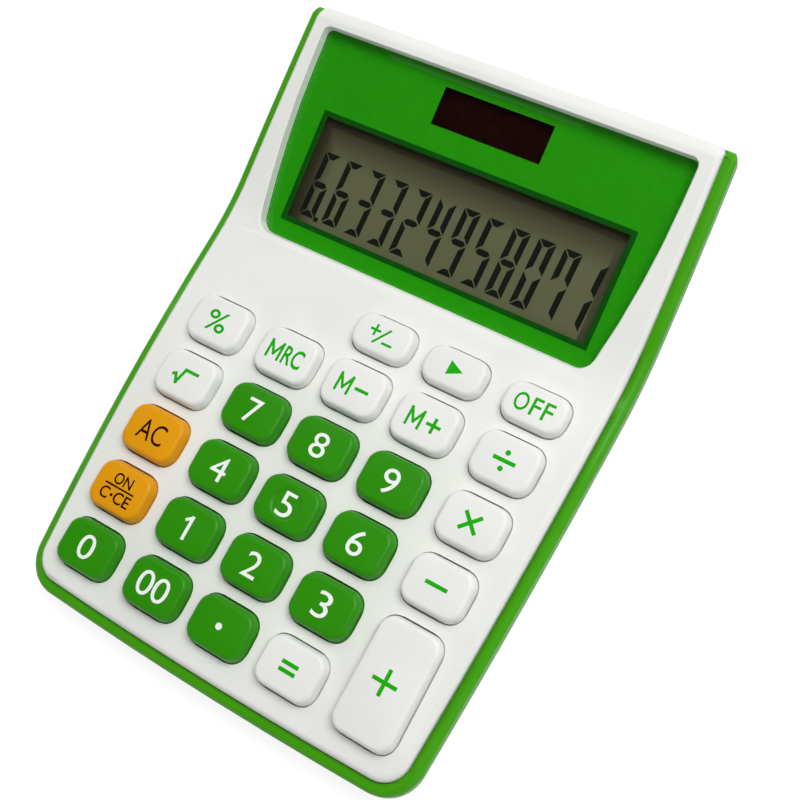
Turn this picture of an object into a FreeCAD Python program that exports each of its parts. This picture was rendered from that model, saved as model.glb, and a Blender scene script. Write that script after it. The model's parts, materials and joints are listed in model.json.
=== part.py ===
import FreeCAD, Part
import os
import math

V = FreeCAD.Vector

# Desk calculator: moulded case with a rim, a cover, a tilted display and 27 sprung keys.
# Millimetres, +X to the right, +Y from the front edge to the display, +Z up, feet on z = 0.

# Overall body
body_width = 105.7
body_length = 143.5
widest_setback = 55.3
side_bow_radius = 1270.0
front_bow_radius = 1160.0
rim_width = 2.6
rim_thickness = 3.2
rim_drop = 0.15
rim_bevel = 0.9
front_corner_radius = 8.6
back_corner_radius = 2.4
cover_gap = 0.2

# Side profile of the seam between case and cover
seam_front_z = 9.63
front_angle = 6.84
crown_radius = 980.0
bend_radius = 55.0
display_angle = 19.3
display_depth = 39.87

# Cover
cover_rise = 1.8
cover_wall = 2.0
cover_bevel = 1.1
back_roll_radius = 3.2
rim_roll_radius = 2.2
skirt_depth = 1.2
back_skirt_height = 9.0
back_skirt_width = 5.0

# Lower case
case_wall = 2.0
bottom_z = 1.0
hull_side_inset = 6.1
hull_front_inset = 3.8
hull_back_inset = 4.5
hull_top_inset = 4.2
hull_corner_radius = 7.0

# Keys
keypad_left_margin = 6.85
keypad_right_margin = 6.25
keypad_front_margin = 5.44
keypad_back_margin = 7.64
column_lands = (4.3, 3.2, 3.3, 4.6)
row_land = 2.83
top_row_land = 2.4
top_key_depth = 9.0
key_corner_radius = 3.3
key_height = 2.6
key_draft = 0.45
key_round = 0.8
key_clearance = 0.3
key_rest_gap = 0.3
flange_width = 0.7
flange_thickness = 0.8
flange_corner = 2.4
stem_width = 4.4
dish_radius = 4.2
dish_floor_radius = 2.2
dish_depth = 0.25

# Rubber sheet and circuit board under the keys
stem_reach = 3.1
dome_height = 2.2
dome_base_diameter = 9.0
dome_top_diameter = 6.4
dome_gap = 0.1
sheet_thickness = 0.7
sheet_margin = 0.4
board_thickness = 1.4
board_side_gap = 2.15
board_front_margin = 0.4
board_back_margin = 3.0
post_width = 3.2
post_clearance = 0.3
chip_diameter = 14.0
chip_height = 1.6

# Display window
lens_side_border = 4.75
lens_back_border = 5.14
lens_length = 47.15
lens_taper_drop = 9.1
lens_taper_radius = 192.0
lens_top_corner = 1.5
lens_bottom_corner = 3.6
lens_recess = 1.9
lens_thickness = 1.5
lens_bevel = 1.1
lens_gap = 0.15
print_thickness = 0.15
pocket_bevel = 0.9
ledge_thickness = 1.2
ledge_border = 1.2
lcd_side_border = 7.5
lcd_front_border = 5.05
window_bar = 6.65
window_step = 1.0
solar_window_width = 27.0
solar_window_height = 8.55
solar_back_border = 3.05
lcd_margin = 3.4
lcd_thickness = 2.0
film_thickness = 0.3
film_edge = 3.0
solar_margin = 1.8
solar_thickness = 1.1
seat_gap = 0.1
holder_thickness = 1.2
holder_wall = 1.2
holder_fit = 0.3
holder_opening_inset = 6.0
hook_front_inset = 10.4
hook_back_inset = 6.25
hook_width = 4.0
hook_thickness = 1.2
hook_nose = 1.0
ribbon_half_width = 30.0
ribbon_thickness = 0.2
ribbon_contact = 2.2
ribbon_edge = 0.3

# Screws, feet and button cell
case_screw_side_inset = 25.35
case_screw_back_inset = 10.8
case_screw_meet_z = 16.0
case_screw_diameter = 2.3
case_screw_head = 4.4
case_screw_head_height = 1.5
case_screw_length = 8.0
case_screw_seat = 1.6
screw_fit = 0.02
boss_wall = 1.2
well_clearance = 0.3
foot_width = 12.0
foot_depth = 7.0
foot_corner = 3.0
foot_inset = 9.0
cell_diameter = 11.6
cell_height = 5.4
cell_x = -3.5
cell_back_inset = 28.3
cell_clearance = 0.6
cup_wall = 1.2
cup_roof = 1.2
door_length = 25.0
door_width = 18.0
door_thickness = 1.4
door_gap = 0.25
door_ledge = 1.4
tongue_thickness = 0.6
tongue_reach = 1.2
tongue_width = 8.0
grip_grooves = 4
grip_pitch = 1.6
grip_groove_width = 0.8
grip_groove_depth = 0.5
grip_length = 9.0
grip_edge = 2.0
contact_thickness = 0.3
contact_width = 4.0
contact_tail = 2.5

# Chords that draw the screws and cell, the dish, and each corner of the tub, window, feet, keys and key holes
rod_chords = 20
dish_chords = 16
tub_chords = 5
foot_chords = 3
lens_chords = 4
key_chords = 3

half_width = body_width / 2
back_y = body_length / 2
front_y = -body_length / 2
cover_front_y = front_y + rim_width
cover_half = half_width - rim_width
widest_y = back_y - widest_setback
bend_end_y = back_y - display_depth
far = body_length


def unit(angle):
    return V(0, math.cos(math.radians(angle)), math.sin(math.radians(angle)))


def normal(angle):
    return V(0, -math.sin(math.radians(angle)), math.cos(math.radians(angle)))


def sine(angle):
    return math.sin(math.radians(angle))


# Profile angles: the keypad's end tilt lets the bend finish where the display begins.
level_run = bend_end_y - cover_front_y
arc_run = crown_radius * sine(front_angle) + bend_radius * sine(display_angle)
keypad_end_angle = math.degrees(math.asin((arc_run - level_run) / (crown_radius + bend_radius)))
keypad_angle = (front_angle + keypad_end_angle) / 2
crown_centre = V(0, cover_front_y, seam_front_z) - normal(front_angle) * crown_radius
bend_centre = crown_centre + normal(keypad_end_angle) * (crown_radius + bend_radius)


def crown_point(angle, off):
    return crown_centre + normal(angle) * (crown_radius + off)


def bend_point(angle, off):
    return bend_centre - normal(angle) * (bend_radius - off)


keypad_place = FreeCAD.Placement(crown_point(keypad_angle, 0), FreeCAD.Rotation(V(1, 0, 0), keypad_angle))
display_place = FreeCAD.Placement(bend_point(display_angle, 0), FreeCAD.Rotation(V(1, 0, 0), display_angle))
crown_local = keypad_place.inverse().multVec(crown_centre)

# Window outline and openings, measured up the display from the end of the bend
lens_half_width = cover_half - lens_side_border
lens_top_v = display_depth / unit(display_angle).y - lens_back_border
lens_bottom_v = lens_top_v - lens_length
lens_taper_v = lens_top_v - lens_taper_drop
solar_window_high_v = lens_top_v - solar_back_border
solar_window_low_v = solar_window_high_v - solar_window_height
lcd_window_width = 2 * (lens_half_width - lcd_side_border)
lcd_window_low_v = lens_bottom_v + lcd_front_border
lcd_window_high_v = solar_window_low_v - window_bar


def crown_h(t, off):
    # Height of the offset crown above the keypad plane, at a distance t up the keypad.
    return crown_local.z + math.sqrt((crown_radius + off) ** 2 - (t - crown_local.y) ** 2)


def seam_back_z(off):
    p = bend_point(display_angle, off)
    return p.z + (back_y - p.y) * math.tan(math.radians(display_angle))


def put(shape, place):
    moved = shape.copy()
    moved.Placement = place.multiply(moved.Placement)
    return moved


def under_profile(off, roll, end_y, floor_z):
    # Everything below the offset side profile, with a rolled back edge and a wall at end_y.
    p0 = crown_point(front_angle, off)
    p1 = crown_point(keypad_end_angle, off)
    p2 = bend_point(display_angle, off)
    lead = p0 - unit(front_angle) * (4 * rim_width)
    run = (end_y - roll - (p2.y - normal(display_angle).y * roll)) / unit(display_angle).y
    start = p2 + unit(display_angle) * run
    centre = start - normal(display_angle) * roll
    middle = centre + unit((90 + display_angle) / 2) * roll
    end = centre + V(0, roll, 0)
    corner_a = V(0, end_y, floor_z)
    corner_b = V(0, lead.y, floor_z)
    edges = [
        Part.LineSegment(lead, p0).toShape(),
        Part.Arc(p0, crown_point(keypad_angle, off), p1).toShape(),
        Part.Arc(p1, bend_point((keypad_end_angle + display_angle) / 2, off), p2).toShape(),
        Part.LineSegment(p2, start).toShape(),
        Part.Arc(start, middle, end).toShape(),
        Part.LineSegment(end, corner_a).toShape(),
        Part.LineSegment(corner_a, corner_b).toShape(),
        Part.LineSegment(corner_b, lead).toShape(),
    ]
    face = Part.Face(Part.Wire(edges))
    face.translate(V(-body_width, 0, 0))
    return face.extrude(V(2 * body_width, 0, 0))


def plan(inset):
    # Tall prism of the bowed plan outline, inset on the sides and front, and open-ended at the back.
    side_r = side_bow_radius - inset
    cx = half_width - side_bow_radius
    right = Part.makeCylinder(side_r, far, V(cx, widest_y, 0))
    right.rotate(V(cx, widest_y, 0), V(0, 0, 1), 180)
    left = Part.makeCylinder(side_r, far, V(-cx, widest_y, 0))
    front = Part.makeCylinder(front_bow_radius - inset, far, V(0, front_y + front_bow_radius, 0))
    room = slab(-body_width, body_width, -2 * far, 2 * far, 0, far)
    solid = right.common(left).common(front).common(room)
    corners = [e for e in solid.Edges if is_upright(e) and e.CenterOfMass.y < 0]
    return solid.makeFillet(front_corner_radius - inset, corners)


def is_upright(edge):
    a, b = edge.Vertexes[0].Point, edge.Vertexes[-1].Point
    return abs(a.x - b.x) < 1e-6 and abs(a.y - b.y) < 1e-6 and abs(a.z - b.z) > 1e-3


def face_normal(face):
    u0, u1, v0, v1 = face.ParameterRange
    return face.normalAt((u0 + u1) / 2, (v0 + v1) / 2)


def is_side_wall(face):
    n = face_normal(face)
    at_back = n.y > 0.999 and face.CenterOfMass.y > back_y - rim_width
    return abs(n.z) < 1e-3 and not at_back


def bevel_top(solid, size):
    # Bevels the edge where the side walls meet the top, the rolled back edge and the back wall.
    chosen = []
    for edge in solid.Edges:
        faces = solid.ancestorsOfType(edge, Part.Face)
        walls = [f for f in faces if is_side_wall(f)]
        others = [f for f in faces if not is_side_wall(f)]
        if len(walls) == 1 and others and face_normal(others[0]).z > -0.3:
            chosen.append(edge)
    return solid.makeChamfer(size, chosen)


def arc(cx, cy, r, start, end, chords, z):
    # Points on an arc, spaced by equal chords.
    points = []
    for i in range(chords + 1):
        angle = math.radians(start + (end - start) * i / chords)
        points.append(V(cx + r * math.cos(angle), cy + r * math.sin(angle), z))
    return points


def rounded(x0, x1, y0, y1, r, chords, z):
    # Outline of a rounded rectangle, its corners drawn as chords.
    points = arc(x1 - r, y1 - r, r, 0, 90, chords, z)
    points += arc(x0 + r, y1 - r, r, 90, 180, chords, z)
    points += arc(x0 + r, y0 + r, r, 180, 270, chords, z)
    points += arc(x1 - r, y0 + r, r, 270, 360, chords, z)
    return points


def octagon(x, y, width, z):
    half = width / 2
    corner = width * (1 - math.sqrt(0.5))
    return rounded(x - half, x + half, y - half, y + half, corner, 1, z)


def outline_face(points):
    return Part.Face(Part.makePolygon(points + points[:1]))


def prism(points, height):
    return outline_face(points).extrude(V(0, 0, height))


def stack(rings):
    # Solid of flat faces through a pile of outlines that match corner for corner.
    faces = [outline_face(rings[0]), outline_face(rings[-1])]
    for low, high in zip(rings, rings[1:]):
        for i in range(len(low)):
            faces.append(outline_face([low[i - 1], low[i], high[i], high[i - 1]]))
    return Part.Solid(Part.Shell(faces))


def slab(x0, x1, y0, y1, z0, z1):
    return Part.makeBox(x1 - x0, y1 - y0, z1 - z0, V(x0, y0, z0))


def pillar(x, y, width, z0, z1):
    half = width / 2
    return slab(x - half, x + half, y - half, y + half, z0, z1)


def rod(x, y, z0, z1, d):
    return prism(arc(x, y, d / 2, 0, 360, rod_chords, z0)[1:], z1 - z0)


def union(first, others):
    return first.fuse(others).removeSplitter()


# Keys by row from the front, then the tall key that spans two rows
key_rows = [
    ("key_0", "key_00", "key_point", "key_equals"),
    ("key_on_clear", "key_1", "key_2", "key_3"),
    ("key_all_clear", "key_4", "key_5", "key_6", "key_minus"),
    ("key_root", "key_7", "key_8", "key_9", "key_multiply"),
    ("key_percent", "key_memory_recall", "key_memory_minus", "key_memory_plus", "key_divide"),
    ("", "", "key_sign", "key_backspace", "key_off"),
]
full_rows = len(key_rows) - 1


def keypad_t(y):
    return (y - keypad_place.Base.y) / unit(keypad_angle).y


# Keys share what the margins and the lands between them leave of the cover.
key_room = 2 * cover_half - keypad_left_margin - keypad_right_margin - sum(column_lands)
key_width = key_room / (len(column_lands) + 1)
column_x = [keypad_left_margin + key_width / 2 - cover_half]
for land in column_lands:
    column_x.append(column_x[-1] + key_width + land)
lens_low_y = display_place.multVec(V(0, lens_bottom_v, 0)).y
start_t = keypad_t(cover_front_y + keypad_front_margin)
end_t = keypad_t(lens_low_y - keypad_back_margin)
row_room = end_t - start_t - top_key_depth - top_row_land
key_depth = (row_room - row_land * (full_rows - 1)) / full_rows
row_pitch = key_depth + row_land
row_t = [start_t + key_depth / 2 + i * row_pitch for i in range(full_rows)]
row_t.append(end_t - top_key_depth / 2)
keys = []
for row, names in enumerate(key_rows):
    for col, name in enumerate(names):
        if name:
            keys.append((name, column_x[col], row_t[row], top_key_depth if row == full_rows else key_depth))
keys.append(("key_plus", column_x[-1], (row_t[0] + row_t[1]) / 2, key_depth + row_pitch))

hull_half = half_width - hull_side_inset
board_half_width = hull_half - case_wall - board_side_gap
sheet_top = -stem_reach - dome_gap - dome_height
sheet_low = sheet_top - sheet_thickness
board_low = sheet_low - board_thickness
keypad_front_t = start_t - flange_width
keypad_back_t = end_t + flange_width
board_front_t = keypad_front_t - board_front_margin
board_back_t = keypad_back_t + board_back_margin


def crossing(col, row):
    return (column_x[col] + column_x[col + 1]) / 2, (row_t[row] + row_t[row + 1]) / 2


board_posts = [crossing(0, 0), crossing(2, 0), crossing(0, 3), crossing(2, 3), crossing(3, 2)]
board_posts.append((column_x[0], row_t[-1]))


def key_ring(x, t, depth, grow, z):
    half_x = key_width / 2 + grow
    half_t = depth / 2 + grow
    return rounded(x - half_x, x + half_x, t - half_t, t + half_t, key_corner_radius + grow, key_chords, z)


def key_flange(x, t, depth, z0, z1):
    half_x = key_width / 2 + flange_width
    half_t = depth / 2 + flange_width
    return prism(rounded(x - half_x, x + half_x, t - half_t, t + half_t, flange_corner, 1, z0), z1 - z0)


def dish_ring(x, t, r, z):
    return arc(x, t, r, 0, 360, dish_chords, z)[1:]


def make_key(name, x, t, depth):
    # Cap that rises straight through the cover, then drafts in to a softened top edge.
    face_z = crown_h(t, cover_rise)
    top_z = face_z + key_height
    reach = depth / 2 + flange_width
    under = min(crown_h(t - reach, cover_rise - cover_wall), crown_h(t + reach, cover_rise - cover_wall))
    flange_z = under - key_rest_gap
    stem_z = flange_z - flange_thickness
    cap = stack([
        key_ring(x, t, depth, 0, flange_z),
        key_ring(x, t, depth, 0, face_z),
        key_ring(x, t, depth, -key_draft, top_z - key_round),
        key_ring(x, t, depth, -key_draft - key_round, top_z),
    ])
    if name == "key_5":
        cap = cap.cut(stack([dish_ring(x, t, dish_floor_radius, top_z - dish_depth),
                             dish_ring(x, t, dish_radius, top_z)]))
    flange = key_flange(x, t, depth, stem_z, flange_z)
    stem = pillar(x, t, stem_width, -stem_reach, stem_z)
    return put(union(cap, [flange, stem]), keypad_place)


def make_sheet():
    body = slab(-board_half_width, board_half_width, keypad_front_t - sheet_margin,
                keypad_back_t + sheet_margin, sheet_low, sheet_top)
    domes = []
    for name, x, t, depth in keys:
        domes.append(stack([octagon(x, t, dome_base_diameter, sheet_top),
                            octagon(x, t, dome_top_diameter, sheet_top + dome_height)]))
    holes = []
    for x, t in board_posts:
        holes.append(pillar(x, t, post_width + 2 * post_clearance, sheet_low, sheet_top))
    return put(union(body, domes).cut(holes), keypad_place)


def make_board():
    body = slab(-board_half_width, board_half_width, board_front_t, board_back_t, board_low, sheet_low)
    return put(body, keypad_place)


def make_chip():
    # Drop of resin over the chip, under the board.
    x, t = column_x[1], row_t[full_rows - 1]
    drop = stack([octagon(x, t, chip_diameter - 2 * chip_height, board_low - chip_height),
                  octagon(x, t, chip_diameter, board_low)])
    return put(drop, keypad_place)


# Heights in the display frame, along its normal
lens_n = cover_rise - lens_recess
print_n = lens_n - lens_thickness
ledge_n = print_n - print_thickness
ledge_low_n = ledge_n - ledge_thickness
lcd_n = ledge_low_n - seat_gap
lcd_low_n = lcd_n - lcd_thickness
film_low_n = lcd_low_n - film_thickness
holder_n = film_low_n - seat_gap
holder_low_n = holder_n - holder_thickness
lcd_half = lcd_window_width / 2 + lcd_margin
lcd_low_v = lcd_window_low_v - lcd_margin
lcd_high_v = lcd_window_high_v + lcd_margin
hook_v = (lcd_low_v + hook_front_inset, lcd_high_v - hook_back_inset)
solar_half = solar_window_width / 2 + solar_margin
solar_low_v = solar_window_low_v - solar_margin
solar_high_v = solar_window_high_v + solar_margin


def lens_ring(grow, n):
    # Window outline: straight upper sides that curve in towards rounded lower corners.
    radius = lens_taper_radius
    centre_x = lens_half_width - radius
    corner = lens_bottom_corner
    corner_v = lens_bottom_v + corner
    corner_x = centre_x + math.sqrt((radius - corner) ** 2 - (corner_v - lens_taper_v) ** 2)
    lean = math.degrees(math.atan2(corner_v - lens_taper_v, corner_x - centre_x))
    top_x = lens_half_width - lens_top_corner
    top_v = lens_top_v - lens_top_corner
    half = arc(corner_x, corner_v, corner + grow, -90, lean, lens_chords, n)
    half += arc(centre_x, lens_taper_v, radius + grow, lean, 0, lens_chords, n)[1:]
    half += arc(top_x, top_v, lens_top_corner + grow, 0, 90, lens_chords, n)
    return half + [V(-p.x, p.y, p.z) for p in reversed(half)]


def lens_prism(grow, n0, n1):
    return prism(lens_ring(grow, n0), n1 - n0)


def windows(step, n0, n1):
    lcd = slab(-lcd_window_width / 2 - step, lcd_window_width / 2 + step,
               lcd_window_low_v - step, lcd_window_high_v + step, n0, n1)
    solar = slab(-solar_window_width / 2 - step, solar_window_width / 2 + step,
                 solar_window_low_v - step, solar_window_high_v + step, n0, n1)
    return [lcd, solar]


def make_lens():
    solid = stack([lens_ring(0, print_n), lens_ring(0, lens_n - lens_bevel), lens_ring(-lens_bevel, lens_n)])
    return put(solid, display_place)


def make_print():
    film = lens_prism(0, ledge_n, print_n)
    return put(film.cut(windows(0, ledge_n, print_n)), display_place)


def make_lcd():
    return put(slab(-lcd_half, lcd_half, lcd_low_v, lcd_high_v, lcd_low_n, lcd_n), display_place)


def make_reflector():
    film = slab(-lcd_half, lcd_half, lcd_low_v + film_edge, lcd_high_v, film_low_n, lcd_low_n)
    return put(film, display_place)


def make_solar():
    cell = slab(-solar_half, solar_half, solar_low_v, solar_high_v, lcd_n - solar_thickness, lcd_n)
    return put(cell, display_place)


def make_solar_pad():
    inset = solar_margin
    pad = slab(-solar_half + inset, solar_half - inset, solar_low_v + inset, solar_high_v - inset,
               holder_n, lcd_n - solar_thickness)
    return put(pad, display_place)


holder_half = lcd_half + holder_fit + holder_wall


def make_holder():
    # Tray under the glass, open where the glass shows, with a shelf behind the solar cell.
    top_v = lcd_high_v + holder_fit + holder_wall
    tray = slab(-holder_half, holder_half, lcd_low_v, top_v, holder_low_n, lcd_n - seat_gap)
    shelf = slab(-solar_half, solar_half, top_v - holder_wall, solar_high_v, holder_low_n, holder_n)
    lcd_room = slab(-lcd_half - holder_fit, lcd_half + holder_fit, lcd_low_v - holder_wall,
                    lcd_high_v + holder_fit, holder_n, lcd_n)
    opening = slab(-lcd_half + holder_opening_inset, lcd_half - holder_opening_inset,
                   lcd_low_v - holder_wall, lcd_high_v - holder_opening_inset, holder_low_n, holder_n)
    solar_room = slab(-solar_half - holder_fit, solar_half + holder_fit, solar_low_v - holder_fit,
                      solar_high_v + holder_fit, holder_n, lcd_n)
    return put(union(tray, [shelf]).cut([lcd_room, opening, solar_room]), display_place)


def make_hook(side, v):
    # Snap hook on the cover that holds one edge of the tray.
    inner = holder_half + seat_gap
    outer = inner + hook_thickness
    low = holder_low_n - hook_thickness
    profile = [V(inner, v, ledge_n), V(outer, v, ledge_n), V(outer, v, low), V(inner - hook_nose, v, low),
               V(inner - hook_nose, v, holder_low_n), V(inner, v, holder_low_n)]
    points = [V(side * p.x, p.y - hook_width / 2, p.z) for p in profile]
    return put(outline_face(points).extrude(V(0, hook_width, 0)), display_place)


def make_ribbon():
    # Flat strip from the board's back edge to the lower edge of the glass.
    def on_board(t, h):
        return keypad_place.multVec(V(-ribbon_half_width, t, h))

    def on_glass(v, n):
        return display_place.multVec(V(-ribbon_half_width, v, n))

    t0 = board_back_t - ribbon_contact
    t1 = board_back_t + ribbon_edge
    v0 = lcd_low_v - ribbon_edge
    v1 = lcd_low_v + ribbon_contact
    board_top = sheet_low + ribbon_thickness
    glass_low = lcd_low_n - ribbon_thickness
    under = [on_board(t0, sheet_low), on_board(t1, sheet_low)]
    under += [on_glass(v0, glass_low), on_glass(v1, glass_low)]
    over = [on_glass(v1, lcd_low_n), on_glass(v0, lcd_low_n)]
    over += [on_board(t1, board_top), on_board(t0, board_top)]
    return outline_face(under + over).extrude(V(2 * ribbon_half_width, 0, 0))


well_diameter = case_screw_head + 2 * well_clearance
screw_hole = case_screw_diameter + 2 * screw_fit
screw_seat_z = case_screw_meet_z - case_screw_seat
case_screw_x = half_width - case_screw_side_inset
case_screw_y = back_y - case_screw_back_inset
case_screws = [(-case_screw_x, case_screw_y), (case_screw_x, case_screw_y)]
floor_z = bottom_z + case_wall
back_skirt_half = half_width - hull_top_inset - hull_corner_radius


def display_z(y, n):
    p = bend_point(display_angle, n)
    return p.z + (y - p.y) * math.tan(math.radians(display_angle))


def skirt_line(drop):
    # Region below the cover's lower edge, which dips into the rim and reaches deeper at the back.
    below = under_profile(-skirt_depth - drop, rim_drop, back_y + rim_width, -far)
    half = back_skirt_half + drop
    low_z = seam_back_z(0) - back_skirt_height - drop
    return below.cut(slab(-half, half, back_y - back_skirt_width, back_y + far, low_z, far))


def cover_shell():
    outer = plan(rim_width)
    outer = outer.common(under_profile(cover_rise, back_roll_radius, back_y, 0))
    outer = bevel_top(outer, cover_bevel)
    inner = plan(rim_width + cover_wall)
    inner = inner.common(under_profile(cover_rise - cover_wall, back_roll_radius - cover_wall,
                                       back_y - cover_wall, -cover_wall))
    seat = put(lens_prism(ledge_border, ledge_low_n, cover_rise - cover_wall / 4), display_place)
    return outer.cut(inner).cut(skirt_line(0)), seat.common(outer)


def make_cover():
    shell, seat = cover_shell()
    added = [seat]
    for x, t in board_posts:
        post = pillar(x, t, post_width, sheet_low, crown_h(t, cover_rise - cover_wall / 2))
        added.append(put(post, keypad_place))
    for x, y in case_screws:
        boss_top = display_z(y, ledge_low_n / 2)
        added.append(pillar(x, y, screw_hole + 2 * boss_wall, case_screw_meet_z, boss_top))
    for v in hook_v:
        added.append(make_hook(-1, v))
        added.append(make_hook(1, v))
    shell = union(shell, added)
    shell = bevel_pocket(shell.cut(put(lens_prism(lens_gap, ledge_n, far), display_place)))
    holes = []
    for name, x, t, depth in keys:
        ring = key_ring(x, t, depth, key_clearance, crown_h(t, -cover_wall - skirt_depth))
        holes.append(put(prism(ring, far), keypad_place))
    for x, y in case_screws:
        holes.append(rod(x, y, case_screw_meet_z, screw_seat_z + case_screw_length, screw_hole))
    for cut in windows(window_step, ledge_low_n - seat_gap, ledge_n):
        holes.append(put(cut, display_place))
    return shell.cut(holes)


def bevel_pocket(shell):
    # Softens the upper edge of the window pocket.
    back = display_place.inverse()
    chosen = []
    for edge in shell.Edges:
        mid = back.multVec(edge.valueAt((edge.FirstParameter + edge.LastParameter) / 2))
        inside = abs(mid.x) < lens_half_width + 2 * lens_gap and mid.y < lens_top_v + 2 * lens_gap
        if inside and mid.y > lens_bottom_v - 2 * lens_gap and mid.z > cover_rise - lens_recess / 2:
            chosen.append(edge)
    return shell.makeChamfer(pocket_bevel, chosen)


def hull(wall, low_z):
    # Tub of the lower case, wider at the top; the rim's profile trims it.
    low = rounded(-hull_half + wall, hull_half - wall, front_y + hull_front_inset + wall,
                  back_y - hull_back_inset - wall, hull_corner_radius - wall, tub_chords, low_z)
    top_half = half_width - hull_top_inset - wall
    high = rounded(-top_half, top_half, front_y + hull_top_inset + wall, back_y - wall,
                   hull_corner_radius - wall, tub_chords, seam_back_z(0))
    return stack([low, high])


feet = []
for sign in (-1, 1):
    feet.append((sign * (hull_half - foot_inset), front_y + hull_front_inset + foot_inset))
    feet.append((sign * (hull_half - foot_inset), back_y - hull_back_inset - foot_inset))

cell_y = back_y - cell_back_inset
door_top_z = bottom_z + door_thickness
cell_low_z = door_top_z + seat_gap
cell_top_z = cell_low_z + cell_height
cup_inner = cell_diameter + 2 * cell_clearance
cup_top_z = cell_top_z + contact_thickness + cup_roof
door_x0 = cell_x - cup_inner / 2 - door_ledge
door_x1 = door_x0 + door_length


def case_post(x, t):
    # Post on the floor that carries the board from below.
    top = keypad_place.multVec(V(x, t, board_low))
    above = put(slab(-far, far, -far, far, board_low, far), keypad_place)
    return pillar(x, top.y, post_width, bottom_z, top.z + post_width).cut(above)


def cell_cuts():
    # Room for the battery door and its tongue, the cell and the two contacts.
    half = door_width / 2 + door_gap
    tongue_half = tongue_width / 2 + door_gap
    slot_half = contact_width / 2 + cell_clearance
    side_x = cell_x - cup_inner / 2
    return [
        slab(door_x0 - door_gap, door_x1 + door_gap, cell_y - half, cell_y + half, 0, cell_low_z),
        slab(door_x0 - tongue_reach - 2 * door_gap, door_x0, cell_y - tongue_half, cell_y + tongue_half,
             door_top_z - tongue_thickness - seat_gap, cell_low_z),
        pillar(cell_x, cell_y, cup_inner, 0, cell_top_z + contact_thickness),
        pillar(cell_x, cell_y, 2 * slot_half, cell_top_z, cup_top_z),
        slab(side_x - 2 * contact_thickness, side_x, cell_y - slot_half, cell_y + slot_half,
             cell_low_z, cup_top_z),
    ]


def rim_corners():
    # What a rounded corner takes off the back end of each side of the rim.
    r = back_corner_radius
    y = back_y - r
    x = half_width - side_bow_radius + math.sqrt(side_bow_radius ** 2 - (y - widest_y) ** 2) - r
    cuts = []
    for side in (-1, 1):
        low_x, high_x = sorted((side * x, side * (x + 2 * r)))
        corner = slab(low_x, high_x, y, y + 2 * r, 0, far)
        cuts.append(corner.cut(Part.makeCylinder(r, far, V(side * x, y, 0))))
    return cuts


def make_case():
    top = under_profile(-rim_drop, rim_roll_radius, back_y, -far)
    lower = under_profile(-rim_drop - rim_thickness, rim_drop, back_y + rim_width, -2 * far)
    rim = bevel_top(plan(0).common(top.cut(lower)), rim_bevel).cut(rim_corners())
    tub = hull(0, bottom_z).common(under_profile(-rim_drop - rim_bevel, rim_drop, back_y, -far))
    body = rim.fuse(tub).cut(hull(case_wall, floor_z))
    body = body.cut(plan(rim_width - cover_gap).cut(skirt_line(cover_gap)))
    added = [case_post(x, t) for x, t in board_posts]
    ledge_room = lens_prism(ledge_border + cover_gap, ledge_low_n - cover_gap, cover_rise)
    cuts = cell_cuts() + [put(ledge_room, display_place)]
    for x, y in case_screws:
        added.append(pillar(x, y, well_diameter + 2 * boss_wall, bottom_z, case_screw_meet_z))
        cuts.append(rod(x, y, 0, screw_seat_z, well_diameter))
        cuts.append(rod(x, y, 0, case_screw_meet_z, screw_hole))
    added.append(pillar(cell_x, cell_y, cup_inner + 2 * cup_wall, bottom_z, cup_top_z))
    return union(body, added).cut(cuts)


def make_case_screws():
    screws = []
    for x, y in case_screws:
        head = rod(x, y, screw_seat_z - case_screw_head_height, screw_seat_z, case_screw_head)
        shank = rod(x, y, screw_seat_z, screw_seat_z + case_screw_length, case_screw_diameter)
        screws.append(union(head, [shank]))
    return Part.makeCompound(screws)


def make_feet():
    pads = []
    for x, y in feet:
        half_x = foot_width / 2
        half_y = foot_depth / 2
        outline = rounded(x - half_x, x + half_x, y - half_y, y + half_y, foot_corner, foot_chords, 0)
        pads.append(prism(outline, bottom_z))
    return Part.makeCompound(pads)


def make_cell():
    return rod(cell_x, cell_y, cell_low_z, cell_top_z, cell_diameter)


def make_contact_minus():
    # Spring plate over the cell, with a tail that stands up through the cup.
    half = contact_width / 2
    plate_z = cell_top_z + contact_thickness
    plate = slab(cell_x - half, cell_x + half, cell_y - half, cell_y + half, cell_top_z, plate_z)
    tail = slab(cell_x - half, cell_x + half, cell_y - half, cell_y - half + contact_thickness,
                cell_top_z, cup_top_z + contact_tail)
    return union(plate, [tail])


def make_contact_plus():
    # Plate beside the cell's rim, with its tail outside the cup.
    half = contact_width / 2
    x = cell_x - cup_inner / 2
    return slab(x - contact_thickness, x, cell_y - half, cell_y + half,
                cell_low_z + seat_gap, cup_top_z + contact_tail)


def make_door():
    # Flush hatch with a tongue at one end and finger grooves at the other.
    half = door_width / 2
    plate = slab(door_x0, door_x1, cell_y - half, cell_y + half, bottom_z, door_top_z)
    tongue = slab(door_x0 - tongue_reach, door_x0, cell_y - tongue_width / 2, cell_y + tongue_width / 2,
                  door_top_z - tongue_thickness, door_top_z)
    grooves = []
    for i in range(grip_grooves):
        x = door_x1 - grip_edge - i * grip_pitch
        grooves.append(slab(x - grip_groove_width, x, cell_y - grip_length / 2, cell_y + grip_length / 2,
                            bottom_z, bottom_z + grip_groove_depth))
    return union(plate, [tongue]).cut(grooves)


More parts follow.
